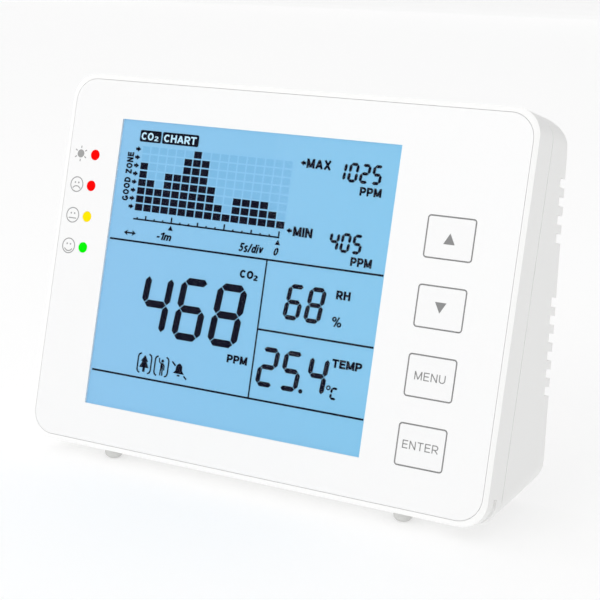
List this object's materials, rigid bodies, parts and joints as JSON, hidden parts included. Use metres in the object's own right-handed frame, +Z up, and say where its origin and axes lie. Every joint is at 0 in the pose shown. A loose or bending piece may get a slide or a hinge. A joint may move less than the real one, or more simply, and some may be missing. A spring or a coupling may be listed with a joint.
{
  "type": "air quality monitor",
  "caption": "Wedge-shaped desktop air quality monitor with a display window, side keys, status lights and vented rear case.",
  "frame": {"origin": "middle of the footprint, on the surface that the feet stand on", "axes": "+X to the right seen from the front, -Y out of the front, +Z up"},
  "size_m": [0.12, 0.035, 0.0908],
  "materials": {
    "case_abs": "fine moulded satin",
    "panel_print": "printed satin sheet",
    "clear_window": "clear polished",
    "display_blue": "lit polariser over glass",
    "holder_white": "moulded",
    "guide_clear": "clear moulded acrylic",
    "led_clear": "clear epoxy",
    "contact_rubber": "silicone strip",
    "board_green": "solder mask",
    "key_white": "printed satin",
    "switch_black": "moulded",
    "lens_red": "lit tinted acrylic",
    "lens_yellow": "lit tinted acrylic",
    "lens_green": "lit tinted acrylic",
    "sensor_gold": "gold-plated moulding",
    "membrane_white": "porous film",
    "chip_black": "moulded epoxy",
    "can_aluminium": "drawn can",
    "socket_steel": "plated stamping",
    "screw_steel": "zinc plated",
    "foot_rubber": "soft matt"
  },
  "bodies": {
    "case": {"front_frame": "case_abs", "rear_case": "case_abs", "front_panel": "panel_print", "display_window": "clear_window", "display_glass": "display_blue", "display_holder": "holder_white", "light_guide": "guide_clear", "backlight_leds": "led_clear", "display_connectors": "contact_rubber", "main_board": "board_green", "key_switches": "switch_black", "lens_alarm": "lens_red", "lens_high": "lens_red", "lens_medium": "lens_yellow", "lens_low": "lens_green", "status_leds": "led_clear", "light_shroud": "switch_black", "sensor_board": "board_green", "sensor_chamber": "sensor_gold", "sensor_membrane": "membrane_white", "sensor_header": "switch_black", "climate_board": "board_green", "climate_sensor": "chip_black", "buzzer": "chip_black", "controller_chip": "chip_black", "board_chips": "chip_black", "capacitors": "can_aluminium", "power_inlet": "socket_steel", "case_screws": "screw_steel", "board_screws": "screw_steel", "front_foot_left": "foot_rubber", "front_foot_right": "foot_rubber", "rear_foot_left": "foot_rubber", "rear_foot_right": "foot_rubber"},
    "up_button": {"key_up": "key_white", "plunger_up": "switch_black"},
    "down_button": {"key_down": "key_white", "plunger_down": "switch_black"},
    "menu_button": {"key_menu": "key_white", "plunger_menu": "switch_black"},
    "enter_button": {"key_enter": "key_white", "plunger_enter": "switch_black"}
  },
  "joints": [
    {"name": "up_press", "type": "slide", "parent": "case", "child": "up_button", "axis": [0, 0.9803, -0.1977], "range_m": [0, 0.0004], "stiffness_N_per_m": 1200},
    {"name": "down_press", "type": "slide", "parent": "case", "child": "down_button", "axis": [0, 0.9803, -0.1977], "range_m": [0, 0.0004], "stiffness_N_per_m": 1200},
    {"name": "menu_press", "type": "slide", "parent": "case", "child": "menu_button", "axis": [0, 0.9803, -0.1977], "range_m": [0, 0.0004], "stiffness_N_per_m": 1200},
    {"name": "enter_press", "type": "slide", "parent": "case", "child": "enter_button", "axis": [0, 0.9803, -0.1977], "range_m": [0, 0.0004], "stiffness_N_per_m": 1200}
  ]
}
